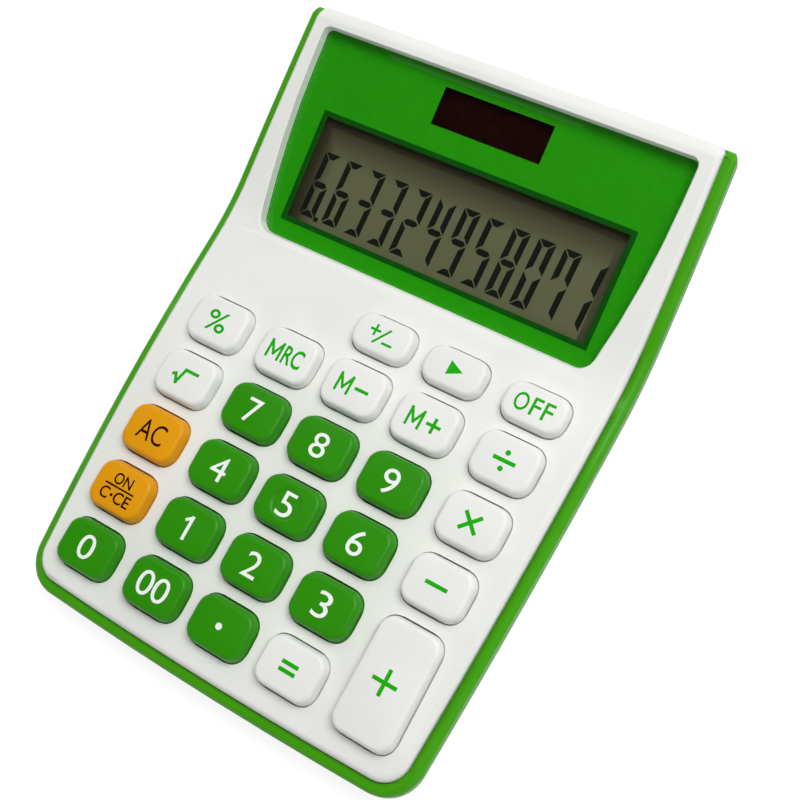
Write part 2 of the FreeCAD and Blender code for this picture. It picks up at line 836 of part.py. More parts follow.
os.makedirs("parts", exist_ok=True)
pieces = {
    "bottom_case": make_case, "top_cover": make_cover, "display_lens": make_lens, "lens_print": make_print,
    "lcd_glass": make_lcd, "lcd_reflector": make_reflector, "lcd_ribbon": make_ribbon,
    "solar_cell": make_solar, "solar_pad": make_solar_pad, "display_holder": make_holder,
    "main_board": make_board, "chip": make_chip, "rubber_sheet": make_sheet, "case_screws": make_case_screws,
    "rubber_feet": make_feet, "button_cell": make_cell, "cell_contact_minus": make_contact_minus,
    "cell_contact_plus": make_contact_plus, "battery_door": make_door,
}
for name, make in pieces.items():
    make().exportStep("parts/" + name + ".step")
for name, x, t, depth in keys:
    make_key(name, x, t, depth).exportStep("parts/" + name + ".step")
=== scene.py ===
import json
import math
import bmesh
import bpy
from mathutils import Matrix, Vector


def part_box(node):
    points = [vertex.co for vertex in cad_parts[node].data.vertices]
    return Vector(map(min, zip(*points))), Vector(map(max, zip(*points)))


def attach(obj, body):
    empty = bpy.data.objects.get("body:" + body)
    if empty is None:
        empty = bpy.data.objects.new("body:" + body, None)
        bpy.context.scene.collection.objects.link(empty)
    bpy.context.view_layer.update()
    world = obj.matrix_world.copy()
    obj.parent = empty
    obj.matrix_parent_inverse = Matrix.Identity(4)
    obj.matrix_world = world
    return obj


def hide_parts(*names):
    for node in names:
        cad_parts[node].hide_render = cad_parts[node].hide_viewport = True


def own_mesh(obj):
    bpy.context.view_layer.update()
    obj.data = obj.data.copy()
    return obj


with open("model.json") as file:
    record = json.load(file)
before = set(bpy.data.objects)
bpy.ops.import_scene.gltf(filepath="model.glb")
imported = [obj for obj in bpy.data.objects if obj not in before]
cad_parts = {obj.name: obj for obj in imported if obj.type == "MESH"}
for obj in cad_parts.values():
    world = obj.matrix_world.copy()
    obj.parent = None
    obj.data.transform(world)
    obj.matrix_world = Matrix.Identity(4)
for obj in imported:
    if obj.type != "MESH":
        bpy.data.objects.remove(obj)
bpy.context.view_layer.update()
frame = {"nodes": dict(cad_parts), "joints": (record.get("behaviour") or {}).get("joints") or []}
nodes = frame["nodes"]
mm = 0.001
print("frame loaded with", len(nodes), "nodes")


def pickOnly(obj):
    if bpy.context.object and bpy.context.object.mode != "OBJECT":
        bpy.ops.object.mode_set(mode="OBJECT")
    bpy.ops.object.select_all(action="DESELECT")
    obj.select_set(True)
    bpy.context.view_layer.objects.active = obj


def openMesh(obj, kind="FACE"):
    pickOnly(obj)
    bpy.ops.object.mode_set(mode="EDIT")
    bpy.ops.mesh.select_mode(type=kind)
    bpy.ops.mesh.select_all(action="SELECT")


def choose(obj, kind, test):  # stays in edit mode with only what passes the test selected
    openMesh(obj, kind)
    bpy.ops.mesh.select_all(action="DESELECT")
    grid = bmesh.from_edit_mesh(obj.data)
    grid.normal_update()
    parts = {"VERT": grid.verts, "EDGE": grid.edges, "FACE": grid.faces}[kind]
    for part in parts:
        if test(part):
            part.select_set(True)
    grid.select_flush_mode()
    bmesh.update_edit_mesh(obj.data)


def closeMesh():
    bpy.ops.object.mode_set(mode="OBJECT")


def middle(edge):
    return (edge.verts[0].co + edge.verts[1].co) / 2


def isUpright(edge):
    line = (edge.verts[1].co - edge.verts[0].co).normalized()
    return abs(line.z) > 0.95


def liesAbove(edge, height):
    return min(v.co.z for v in edge.verts) > height - 0.01 * mm


def facesUp(face):
    return face.normal.z > 0.9


def facesDown(face):
    return face.normal.z < -0.9


def bevelChosen(size, steps, clamp=True):
    bpy.ops.mesh.bevel(offset_type="OFFSET", offset=size, segments=steps, profile=0.5,
                       affect="EDGES", clamp_overlap=clamp)


def extrudeChosen(rise=0.0):
    bpy.ops.mesh.extrude_region_move(TRANSFORM_OT_translate={"value": (0, 0, rise)})


def useModifier(obj, kind, **values):
    pickOnly(obj)
    modifier = obj.modifiers.new(kind.lower(), kind)
    for name, value in values.items():
        setattr(modifier, name, value)
    bpy.ops.object.modifier_apply(modifier=modifier.name)


def smooth(obj, angle):
    pickOnly(obj)
    bpy.ops.object.shade_smooth_by_angle(angle=math.radians(angle))


def bakePlace():
    bpy.ops.object.transform_apply(location=True, rotation=True, scale=True)


def blockAt(name, size, place=(0, 0, 0)):
    bpy.ops.object.select_all(action="DESELECT")
    bpy.ops.mesh.primitive_cube_add(size=1, location=place)
    obj = bpy.context.object
    obj.name = name
    obj.scale = size
    bakePlace()
    return obj


def discAt(name, radius, height, place=(0, 0, 0), sides=48):
    bpy.ops.object.select_all(action="DESELECT")
    bpy.ops.mesh.primitive_cylinder_add(vertices=sides, radius=radius, depth=height, location=place)
    obj = bpy.context.object
    obj.name = name
    bakePlace()
    return obj


def joinAll(name, objs):
    pickOnly(objs[0])
    for obj in objs:
        obj.select_set(True)
    if len(objs) > 1:
        bpy.ops.object.join()
    objs[0].name = name
    return objs[0]


def copyPiece(obj, name):
    pickOnly(obj)
    bpy.ops.object.duplicate(linked=False)
    twin = bpy.context.object
    twin.name = name
    return twin


def lay(obj, turn, place):  # puts a piece modelled flat at the origin on a tilted plane
    pickOnly(obj)
    obj.matrix_world = Matrix.Translation(turn @ Vector(place)) @ turn.to_4x4()
    bakePlace()


def nodeCopy(node, name):  # merged copy of a CAD node, for edges that need a softer look
    obj = bpy.data.objects.new(name, nodes[node].data.copy())
    bpy.context.scene.collection.objects.link(obj)
    openMesh(obj)
    bpy.ops.mesh.remove_doubles(threshold=0.001 * mm)
    bpy.ops.mesh.dissolve_limited(angle_limit=math.radians(0.05))
    closeMesh()
    return obj


def seat(obj, body, material, replaced=None):
    obj.data.materials.clear()
    obj.data.materials.append(material)
    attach(obj, body)
    if replaced:
        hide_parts(replaced)


def localBox(node, turn):  # a node's corners in a frame turned about X
    back = turn.inverted()
    points = [back @ v.co for v in nodes[node].data.vertices]
    low = Vector([min(p[i] for p in points) for i in range(3)])
    high = Vector([max(p[i] for p in points) for i in range(3)])
    return low, high


# tilted planes of the keypad and the display, read from the frame
pressAxis = Vector(frame["joints"][0]["axis"])
keyTurn = Matrix.Rotation(math.atan2(pressAxis.y, -pressAxis.z), 3, "X")
lensFace = max(nodes["display_lens"].data.polygons, key=lambda face: face.normal.z * face.area)
displayTurn = Matrix.Rotation(math.atan2(-lensFace.normal.y, lensFace.normal.z), 3, "X")
glassMargin = 3.4  # how far the display glass reaches under its print, in mm
noiseSpan = (0.3, 0.7)  # where a noise texture has most of its values
skinBump = {"plastic": 0.12, "ink": 0.05, "depth": 0.02}


# shared effects
def newGroup(name, inputs, outputs):
    group = bpy.data.node_groups.new(name, "ShaderNodeTree")
    for label, kind, value in inputs:
        socket = group.interface.new_socket(name=label, in_out="INPUT", socket_type=kind)
        socket.default_value = value
    for label, kind in outputs:
        group.interface.new_socket(name=label, in_out="OUTPUT", socket_type=kind)
    return group, group.nodes.new("NodeGroupInput"), group.nodes.new("NodeGroupOutput")


def addNode(tree, kind, **values):
    node = tree.nodes.new(kind)
    for name, value in values.items():
        if name in node.inputs:
            node.inputs[name].default_value = value
        else:
            setattr(node, name, value)
    return node


def mixColour(tree, factor, first, second, blend="MIX"):
    mix = tree.nodes.new("ShaderNodeMix")
    mix.data_type = "RGBA"
    mix.blend_type = blend
    for socket, value in ((mix.inputs[0], factor), (mix.inputs[6], first), (mix.inputs[7], second)):
        if isinstance(value, bpy.types.NodeSocket):
            tree.links.new(value, socket)
        else:
            socket.default_value = value
    return mix.outputs[2]


def spread(tree, value, low, high, outLow, outHigh):
    node = tree.nodes.new("ShaderNodeMapRange")
    tree.links.new(value, node.inputs["Value"])
    node.inputs["From Min"].default_value = low
    node.inputs["From Max"].default_value = high
    for label, end in (("To Min", outLow), ("To Max", outHigh)):
        if isinstance(end, bpy.types.NodeSocket):
            tree.links.new(end, node.inputs[label])
        else:
            node.inputs[label].default_value = end
    return node.outputs["Result"]


def noise(tree, coords, scale, detail):
    node = addNode(tree, "ShaderNodeTexNoise", Detail=detail)
    tree.links.new(coords, node.inputs["Vector"])
    if isinstance(scale, bpy.types.NodeSocket):
        tree.links.new(scale, node.inputs["Scale"])
    else:
        node.inputs["Scale"].default_value = scale
    return node.outputs["Fac"]


def objectPlace(tree):
    return tree.nodes.new("ShaderNodeTexCoord").outputs["Object"]


def unevenTone(group, given, amount, pattern):  # darkens the colour where the pattern is low
    dim = addNode(group, "ShaderNodeMath", operation="SUBTRACT")
    dim.inputs[0].default_value = 1.0
    group.links.new(given.outputs[amount], dim.inputs[1])
    level = spread(group, pattern, *noiseSpan, dim.outputs[0], 1.0)
    return mixColour(group, 1.0, given.outputs["Colour"], level, "MULTIPLY")


def buildMouldedSkin():
    # moulded plastic: faint flow mottle, spark-eroded grain and handling marks
    group, given, result = newGroup(
        "mouldedSkin",
        [("Colour", "NodeSocketColor", (1, 1, 1, 1)), ("Mottle", "NodeSocketFloat", 0.06),
         ("Grain Scale", "NodeSocketFloat", 2600.0), ("Shine", "NodeSocketFloat", 0.4),
         ("Marks", "NodeSocketFloat", 0.1)],
        [("Colour", "NodeSocketColor"), ("Roughness", "NodeSocketFloat"), ("Grain", "NodeSocketFloat")])
    place = objectPlace(group)
    flow = noise(group, place, 55.0, 3.0)
    grain = noise(group, place, given.outputs["Grain Scale"], 2.0)
    marks = noise(group, place, 170.0, 5.0)
    group.links.new(unevenTone(group, given, "Mottle", flow), result.inputs["Colour"])
    gloss = addNode(group, "ShaderNodeMath", operation="MULTIPLY_ADD")
    group.links.new(spread(group, marks, 0.35, 0.7, 0.0, 1.0), gloss.inputs[0])
    group.links.new(given.outputs["Marks"], gloss.inputs[1])
    group.links.new(given.outputs["Shine"], gloss.inputs[2])
    group.links.new(gloss.outputs[0], result.inputs["Roughness"])
    group.links.new(grain, result.inputs["Grain"])
    return group


def buildInkFilm():
    # printed ink: a slightly uneven film
    group, given, result = newGroup(
        "inkFilm", [("Colour", "NodeSocketColor", (1, 1, 1, 1)), ("Unevenness", "NodeSocketFloat", 0.1)],
        [("Colour", "NodeSocketColor"), ("Roughness", "NodeSocketFloat"), ("Grain", "NodeSocketFloat")])
    place = objectPlace(group)
    cloud = noise(group, place, 900.0, 3.0)
    group.links.new(unevenTone(group, given, "Unevenness", cloud), result.inputs["Colour"])
    group.links.new(spread(group, cloud, *noiseSpan, 0.4, 0.55), result.inputs["Roughness"])
    group.links.new(cloud, result.inputs["Grain"])
    return group


mouldedSkin = buildMouldedSkin()
inkFilm = buildInkFilm()


def newMaterial(name):
    material = bpy.data.materials.new(name)
    material.use_nodes = True
    tree = material.node_tree
    return material, tree, tree.nodes["Principled BSDF"]


def useGroup(tree, shader, group, bump, **values):
    skin = tree.nodes.new("ShaderNodeGroup")
    skin.node_tree = group
    for name, value in values.items():
        skin.inputs[name].default_value = value
    tree.links.new(skin.outputs["Colour"], shader.inputs["Base Color"])
    tree.links.new(skin.outputs["Roughness"], shader.inputs["Roughness"])
    if bump:
        relief = addNode(tree, "ShaderNodeBump", Strength=bump, Distance=skinBump["depth"] * mm)
        tree.links.new(skin.outputs["Grain"], relief.inputs["Height"])
        tree.links.new(relief.outputs["Normal"], shader.inputs["Normal"])


def plastic(name, colour, shine, gloss=0.3):
    material, tree, shader = newMaterial(name)
    useGroup(tree, shader, mouldedSkin, skinBump["plastic"], Colour=(*colour, 1), Shine=shine)
    shader.inputs["Specular IOR Level"].default_value = gloss
    return material


def ink(name, colour):
    material, tree, shader = newMaterial(name)
    useGroup(tree, shader, inkFilm, skinBump["ink"], Colour=(*colour, 1))
    shader.inputs["Specular IOR Level"].default_value = 0.08
    return material


finishes = {
    "coverWhite": ((0.84, 0.85, 0.81), 0.34), "rimGreen": ((0.054, 0.35, 0.001), 0.34, 0.2),
    "keyGreen": ((0.026, 0.275, 0.0005), 0.3, 0.2), "keyOrange": ((0.79, 0.335, 0.0005), 0.3, 0.2),
    "keyWhite": ((0.85, 0.86, 0.83), 0.3), "innerWhite": ((0.72, 0.72, 0.69), 0.55),
    "footRubber": ((0.30, 0.30, 0.29), 0.75), "sheetSilicone": ((0.62, 0.62, 0.60), 0.6),
    "foamBlack": ((0.03, 0.03, 0.03), 0.9), "chipResin": ((0.012, 0.012, 0.012), 0.25),
}
looks = {name: plastic(name, *values) for name, values in finishes.items()}
looks["legendWhite"] = ink("legendWhite", (0.93, 0.97, 0.93))
looks["legendGreen"] = ink("legendGreen", (0.012, 0.43, 0.002))
looks["legendBrown"] = ink("legendBrown", (0.022, 0.0015, 0.001))
looks["printGreen"] = ink("printGreen", (0.015, 0.29, 0.0005))
looks["printBorder"] = ink("printBorder", (0.001, 0.072, 0.001))
looks["segmentInk"] = ink("segmentInk", (0.006, 0.007, 0.005))


def windowMaterial():
    # clear plate with weak reflections: light goes straight through to what lies under it
    material, tree, shader = newMaterial("clearWindow")
    useGroup(tree, shader, mouldedSkin, 0.0, Colour=(0.97, 1.0, 0.97, 1), Mottle=0.02, Shine=0.0,
             Marks=0.015)
    shader.inputs["Transmission Weight"].default_value = 1.0
    shader.inputs["IOR"].default_value = 1.22
    path = tree.nodes.new("ShaderNodeLightPath")
    either = addNode(tree, "ShaderNodeMath", operation="MAXIMUM")
    tree.links.new(path.outputs["Is Shadow Ray"], either.inputs[0])
    tree.links.new(path.outputs["Is Diffuse Ray"], either.inputs[1])
    tree.links.new(spread(tree, either.outputs[0], 0.0, 1.0, 1.0, 0.04), shader.inputs["Alpha"])
    return material


def metal(name, colour, shine, scale):
    material, tree, shader = newMaterial(name)
    place = objectPlace(tree)
    brushed = noise(tree, place, scale, 4.0)
    tint = mixColour(tree, brushed, (*[0.8 * c for c in colour], 1), (*colour, 1))
    tree.links.new(tint, shader.inputs["Base Color"])
    tree.links.new(spread(tree, brushed, *noiseSpan, shine - 0.06, shine + 0.1), shader.inputs["Roughness"])
    shader.inputs["Metallic"].default_value = 1.0
    return material


def crystalMaterial():
    # grey-olive display with the fine sparkle of its reflector, and a painted shadow of the window's edge along
    # its top and both sides
    # each painted shadow band: where it starts and where it is darkest, in mm from the print's edge, and how dark
    glass = {"top": (2.0, 1.8, 0.88), "fade": (9.0, 2.0, 0.72), "right": (2.2, 2.05, 0.6),
             "left": (6.0, 1.2, 0.85)}
    material, tree, shader = newMaterial("crystalGrey")
    place = objectPlace(tree)
    sparkle = noise(tree, place, 3800.0, 2.0)
    cloud = noise(tree, place, 60.0, 2.0)
    fine = mixColour(tree, sparkle, (0.092, 0.094, 0.045, 1), (0.134, 0.134, 0.070, 1))
    tone = mixColour(tree, spread(tree, cloud, *noiseSpan, 0.0, 0.25), fine, (0.12, 0.124, 0.062, 1))
    low, high = localBox("lcd_glass", displayTurn)
    flat = tree.nodes.new("ShaderNodeMapping")
    flat.inputs["Rotation"].default_value = displayTurn.inverted().to_euler()
    tree.links.new(place, flat.inputs["Vector"])
    split = tree.nodes.new("ShaderNodeSeparateXYZ")
    tree.links.new(flat.outputs["Vector"], split.inputs[0])
    inset = glassMargin * mm
    shade = None
    for side, axis, edge, inward in (("top", "Y", high.y - inset, -mm), ("fade", "Y", high.y - inset, -mm),
                                     ("right", "X", high.x - inset, -mm), ("left", "X", low.x + inset, mm)):
        start, end, depth = glass[side]
        shadowBand = spread(tree, split.outputs[axis], edge + start * inward, edge + end * inward, 0.0, depth)
        if shade:
            deeper = addNode(tree, "ShaderNodeMath", operation="MAXIMUM")
            tree.links.new(shade, deeper.inputs[0])
            tree.links.new(shadowBand, deeper.inputs[1])
            shadowBand = deeper.outputs[0]
        shade = shadowBand
    # painted shadow: the bands darken the display towards a near-black brown where the window's edge would shade
    # it
    tree.links.new(mixColour(tree, shade, tone, (0.015, 0.010, 0.003, 1)), shader.inputs["Base Color"])
    tree.links.new(spread(tree, sparkle, *noiseSpan, 0.42, 0.55), shader.inputs["Roughness"])
    shader.inputs["Specular IOR Level"].default_value = 0.15
    return material


def solarMaterial():
    # dark maroon cell strip, split by three fine scribed lines
    strip = {"cells": 4, "width": 27.0, "line": 0.03}
    material, tree, shader = newMaterial("solarMaroon")
    place = objectPlace(tree)
    split = tree.nodes.new("ShaderNodeSeparateXYZ")
    tree.links.new(place, split.inputs[0])
    pitch = strip["width"] * mm / strip["cells"]
    share = addNode(tree, "ShaderNodeMath", operation="DIVIDE")
    tree.links.new(split.outputs["X"], share.inputs[0])
    share.inputs[1].default_value = pitch
    wave = addNode(tree, "ShaderNodeMath", operation="PINGPONG")
    tree.links.new(share.outputs[0], wave.inputs[0])
    wave.inputs[1].default_value = 0.5
    scribe = spread(tree, wave.outputs[0], 0.0, strip["line"], 1.0, 0.0)
    bloom = noise(tree, place, 240.0, 4.0)
    body = mixColour(tree, bloom, (0.006, 0.0006, 0.0006, 1), (0.014, 0.001, 0.001, 1))
    tree.links.new(mixColour(tree, scribe, body, (0.016, 0.0016, 0.0014, 1)), shader.inputs["Base Color"])
    tree.links.new(spread(tree, bloom, *noiseSpan, 0.16, 0.26), shader.inputs["Roughness"])
    shader.inputs["Specular IOR Level"].default_value = 0.15
    return material


def boardMaterial():
    # paper laminate with broad carbon tracks
    material, tree, shader = newMaterial("boardLaminate")
    place = objectPlace(tree)
    fibre = noise(tree, place, 700.0, 4.0)
    base = mixColour(tree, fibre, (0.20, 0.12, 0.035, 1), (0.30, 0.20, 0.07, 1))
    tracks = addNode(tree, "ShaderNodeTexBrick", Scale=110.0)
    tracks.inputs["Mortar Size"].default_value = 0.035
    tree.links.new(place, tracks.inputs["Vector"])
    tint = mixColour(tree, tracks.outputs["Fac"], base, (0.03, 0.10, 0.03, 1))
    tree.links.new(tint, shader.inputs["Base Color"])
    tree.links.new(spread(tree, fibre, *noiseSpan, 0.5, 0.65), shader.inputs["Roughness"])
    return material


def filmMaterial(name, first, second, shine):
    material, tree, shader = newMaterial(name)
    place = objectPlace(tree)
    lines = addNode(tree, "ShaderNodeTexWave", Scale=900.0, Distortion=0.4)
    tree.links.new(place, lines.inputs["Vector"])
    tint = mixColour(tree, lines.outputs["Fac"], (*first, 1), (*second, 1))
    tree.links.new(tint, shader.inputs["Base Color"])
    tree.links.new(spread(tree, lines.outputs["Fac"], 0.0, 1.0, shine, shine + 0.1), shader.inputs["Roughness"])
    return material


looks["clearWindow"] = windowMaterial()
looks["crystalGrey"] = crystalMaterial()
looks["solarMaroon"] = solarMaterial()
looks["boardLaminate"] = boardMaterial()
looks["ribbonFilm"] = filmMaterial("ribbonFilm", (0.42, 0.22, 0.05), (0.55, 0.33, 0.10), 0.35)
looks["reflectorFilm"] = filmMaterial("reflectorFilm", (0.42, 0.42, 0.38), (0.50, 0.50, 0.46), 0.3)
looks["screwSteel"] = metal("screwSteel", (0.62, 0.62, 0.60), 0.28, 900.0)
looks["cellSteel"] = metal("cellSteel", (0.70, 0.70, 0.68), 0.22, 500.0)
looks["contactSteel"] = metal("contactSteel", (0.58, 0.55, 0.48), 0.32, 700.0)
print("finishes ready:", len(looks))

# CAD nodes that keep their own shape
kept = {
    "lens_print": "printGreen", "lcd_glass": "crystalGrey", "lcd_reflector": "reflectorFilm",
    "lcd_ribbon": "ribbonFilm", "solar_cell": "solarMaroon", "solar_pad": "foamBlack",
    "display_holder": "innerWhite", "main_board": "boardLaminate", "chip": "chipResin",
    "button_cell": "cellSteel", "cell_contact_minus": "contactSteel",
    "cell_contact_plus": "contactSteel",
}
for node, look in kept.items():
    nodes[node].data.materials.clear()
    nodes[node].data.materials.append(looks[look])


# shells: merged copies whose bevels shade as rounded edges
def softenShell(obj, sharp):
    smooth(obj, sharp)
    useModifier(obj, "WEIGHTED_NORMAL", keep_sharp=True, weight=60)


def profileLean(y):  # slope of the cover's side profile, in degrees
    profile = ((-69.15, 6.84), (15.45, 1.875), (31.3, 19.3))
    for (y0, lean0), (y1, lean1) in zip(profile, profile[1:]):
        if y < y1 * mm:
            share = max(0.0, (y / mm - y0) / (y1 - y0))
            return lean0 + share * (lean1 - lean0)
    return profile[-1][1]


def settleNormals(obj):
    # the top shades along the smooth profile, and upright walls stay upright
    rule = {"level": 0.9, "sideways": 0.03, "slack": 3, "upright": 0.15, "agree": 0.93}
    mesh = obj.data
    normals = [corner.vector.copy() for corner in mesh.corner_normals]
    for face in mesh.polygons:
        lean = math.degrees(math.atan2(-face.normal.y, face.normal.z))
        leans = [profileLean(mesh.vertices[v].co.y) for v in face.vertices]
        level = face.normal.z > rule["level"] and abs(face.normal.x) < rule["sideways"]
        if level and all(abs(a - lean) < rule["slack"] for a in leans):
            for corner, angle in zip(face.loop_indices, leans):
                turn = math.radians(angle)
                normals[corner] = Vector((0, -math.sin(turn), math.cos(turn)))
        elif abs(face.normal.z) < rule["upright"]:
            for corner in face.loop_indices:
                side = Vector((normals[corner].x, normals[corner].y, 0)).normalized()
                normals[corner] = side if side.dot(face.normal) > rule["agree"] else face.normal.copy()
    mesh.normals_split_custom_set(normals)


def roundHoles(obj):
    # the key holes' corners, drawn by few chords, get a smooth turn
    hole = {"round": 0.75, "steps": 3, "reach": 45.2, "turn": (8, 40)}
    back = keyTurn.inverted()
    low, high = localBox("rubber_sheet", keyTurn)
    least, most = (math.radians(angle) for angle in hole["turn"])

    def isCorner(edge):
        line = (back @ (edge.verts[1].co - edge.verts[0].co)).normalized()
        spot = back @ middle(edge)
        if len(edge.link_faces) != 2 or abs(line.z) < 0.98 or abs(spot.x) > hole["reach"] * mm:
            return False
        if not low.y < spot.y < high.y:
            return False
        return least < edge.calc_face_angle() < most

    choose(obj, "EDGE", isCorner)
    bevelChosen(hole["round"] * mm, hole["steps"], clamp=False)
    closeMesh()


def crispPocket(obj):
    # narrows the lip of the window pocket to a small soft edge
    lip = {"share": 0.35, "reach": 1.6, "around": 1.5, "facing": (0.45, 0.93), "above": 0.5}
    back = displayTurn.inverted()
    low, high = localBox("display_lens", displayTurn)
    around = lip["around"] * mm
    lowest = high.z + lip["above"] * mm
    steepest, flattest = lip["facing"]

    def isOutside(spot):
        return abs(spot.x) > high.x + around or not low.y - around < spot.y < high.y + around

    mesh = obj.data
    lower, upper = set(), set()
    for face in mesh.polygons:
        facing = back @ face.normal
        spots = [back @ mesh.vertices[v].co for v in face.vertices]
        if any(isOutside(spot) for spot in spots) or not steepest < facing.z < flattest:
            continue
        heights = [spot.z for spot in spots]
        if min(heights) > lowest:
            cut = (min(heights) + max(heights)) / 2
            for v, spot in zip(face.vertices, spots):
                (upper if spot.z > cut else lower).add(v)
    axis = displayTurn @ Vector((0, 0, 1))
    places = {v: mesh.vertices[v].co.copy() for v in upper | lower}
    for group, others in ((upper, lower), (lower, upper)):
        for v in group:
            mate = min(others, key=lambda o: (places[o] - places[v]).length)
            rise = (places[mate] - places[v]).dot(axis)
            corner = places[mate] if group is lower else places[v]
            foot = places[v] if group is lower else places[mate]
            top = foot + axis * abs(rise)
            if (corner - foot).length < lip["reach"] * mm:
                mesh.vertices[v].co = top + (places[v] - top) * lip["share"]
    mesh.update()


shellSharp = 52
coverShell = nodeCopy("top_cover", "coverShell")
roundHoles(coverShell)
crispPocket(coverShell)
softenShell(coverShell, shellSharp)
settleNormals(coverShell)
seat(coverShell, "case", looks["coverWhite"], "top_cover")
caseShell = nodeCopy("bottom_case", "caseShell")
softenShell(caseShell, shellSharp)
seat(caseShell, "case", looks["rimGreen"], "bottom_case")
print("shells done")


# small case parts with real rounded edges
def roundedCopy(node, name, look, size, steps):
    obj = nodeCopy(node, name)
    useModifier(obj, "BEVEL", width=size, segments=steps, limit_method="ANGLE",
                angle_limit=math.radians(50))
    smooth(obj, 40)
    seat(obj, "case", looks[look], node)


roundedCopy("battery_door", "batteryHatch", "rimGreen", 0.12 * mm, 2)
roundedCopy("rubber_feet", "footPads", "footRubber", 0.3 * mm, 3)


def modelWindow():
    # clear window lifted a hair off its print; its long flat bevel starts just under the pocket's lip
    window = {"lift": 0.05, "edge": 0.12, "ring": 0.4, "rise": 0.8, "inset": 0.65}
    obj = nodeCopy("display_lens", "clearWindow")
    lay(obj, displayTurn.inverted(), (0, 0, 0))
    low, high = localBox("display_lens", displayTurn)
    near = 0.02 * mm
    choose(obj, "VERT", lambda v: v.co.z < low.z + near)
    bpy.ops.transform.translate(value=(0, 0, window["lift"] * mm))
    closeMesh()
    choose(obj, "VERT", lambda v: abs(v.co.z - low.z - window["ring"] * mm) < near)
    bpy.ops.transform.translate(value=(0, 0, window["rise"] * mm))
    closeMesh()
    centre = (low + high) / 2
    share = [1 - window["inset"] * mm / (high[i] - centre[i]) for i in range(2)]
    choose(obj, "VERT", lambda v: v.co.z > high.z - near)
    bpy.ops.transform.resize(value=(*share, 1), center_override=(centre.x, centre.y, high.z))
    closeMesh()
    lay(obj, displayTurn, (0, 0, 0))
    useModifier(obj, "BEVEL", width=window["edge"] * mm, segments=2, limit_method="ANGLE",
                angle_limit=math.radians(35))
    softenShell(obj, 8)
    seat(obj, "case", looks["clearWindow"], "display_lens")


modelWindow()


def modelBorder():
    # dark printed line round the display opening
    border = {"line": 1.2, "ink": 0.02}
    low, high = localBox("lcd_glass", displayTurn)
    top = localBox("lens_print", displayTurn)[1].z
    inset = glassMargin * mm
    wide = high.x - low.x - 2 * inset
    tall = high.y - low.y - 2 * inset
    line = border["line"] * mm
    obj = blockAt("displayBorder", (wide + 2 * line, tall + 2 * line, border["ink"] * mm))
    choose(obj, "FACE", lambda f: facesUp(f) or facesDown(f))
    bpy.ops.mesh.inset(thickness=line, depth=0)
    bpy.ops.mesh.bridge_edge_loops()
    closeMesh()
    lay(obj, displayTurn, (0, (low.y + high.y) / 2, top + border["ink"] * mm))
    seat(obj, "case", looks["printBorder"])


modelBorder()


def modelDigits():
    # twelve leaning seven-segment digits on the glass, each segment mitred against its neighbours
    digits = {"value": "663324958071", "pitch": 6.13, "first": -33.75, "rise": 1.45, "height": 15.2,
              "width": 4.15, "stroke": 1.38, "gap": 0.28, "lean": 0.042, "ink": 0.03,
              "dot": 1.05, "dotBack": 0.45, "dotLift": 0.1, "dotRound": 0.15}
    lit = {"0": "abcdef", "1": "bc", "2": "abged", "3": "abgcd", "4": "fgbc", "5": "afgcd",
           "6": "afgecd", "7": "fabc", "8": "abcdefg", "9": "abcdfg"}
    half = digits["height"] / 2
    wide = digits["width"] / 2
    line = digits["stroke"]
    corner = digits["gap"] / math.sqrt(2)
    waist = digits["gap"] / 2 * math.sqrt(5) / 2
    tip = digits["gap"] / 2 * math.sqrt(5)

    def bar(left, right, low, high, cuts):
        size = ((right - left) * mm, (high - low) * mm, digits["ink"] * mm)
        obj = blockAt("segment", size, ((left + right) / 2 * mm, (low + high) / 2 * mm, 0))
        for x, y, outX, outY in cuts:
            openMesh(obj)
            bpy.ops.mesh.bisect(plane_co=(x * mm, y * mm, 0), plane_no=(outX, outY, 0),
                                clear_outer=True, use_fill=True)
            closeMesh()
        return obj

    models = {
        "a": bar(-wide, wide, half - line, half,
                 [(-wide + corner, half, -1, -1), (wide - corner, half, 1, -1)]),
        "f": bar(-wide, -wide + line, 0, half, [(-wide, half - corner, 1, 1), (-wide, waist, 1, -2)]),
        "g": bar(-wide, wide, -line / 2, line / 2, [(side * (wide - tip), 0, side * 1, turn * 2)
                                                    for side in (-1, 1) for turn in (-1, 1)]),
    }
    for twin, source, flip in (("d", "a", (1, -1, 1)), ("b", "f", (-1, 1, 1)), ("e", "f", (1, -1, 1)),
                               ("c", "f", (-1, -1, 1))):
        models[twin] = copyPiece(models[source], "segment")
        openMesh(models[twin])
        bpy.ops.transform.resize(value=flip, center_override=(0, 0, 0))
        bpy.ops.mesh.normals_make_consistent(inside=False)
        closeMesh()
    bars = []
    for place, figure in enumerate(digits["value"]):
        for segment in lit[figure]:
            bars.append(copyPiece(models[segment], "segment"))
            openMesh(bars[-1])
            bpy.ops.transform.translate(value=((digits["first"] + place * digits["pitch"]) * mm, 0, 0))
            closeMesh()
    for model in models.values():
        bpy.data.objects.remove(model)
    dotX = (digits["first"] + digits["pitch"] / 2 - digits["dotBack"]) * mm
    dotSize = digits["dot"] * mm
    point = blockAt("segment", (dotSize, dotSize, digits["ink"] * mm), (dotX, (-half + digits["dotLift"]) * mm, 0))
    choose(point, "EDGE", isUpright)
    bevelChosen(digits["dotRound"] * mm, 1)
    closeMesh()
    obj = joinAll("displayDigits", bars + [point])
    for vert in obj.data.vertices:
        vert.co.x += digits["lean"] * vert.co.y
    low, high = localBox("lcd_glass", displayTurn)
    midV = low.y + (glassMargin + digits["rise"] + half) * mm
    lay(obj, displayTurn, (0, midV, high.z + digits["ink"] * mm / 2))
    seat(obj, "case", looks["segmentInk"])


modelDigits()
print("display done")


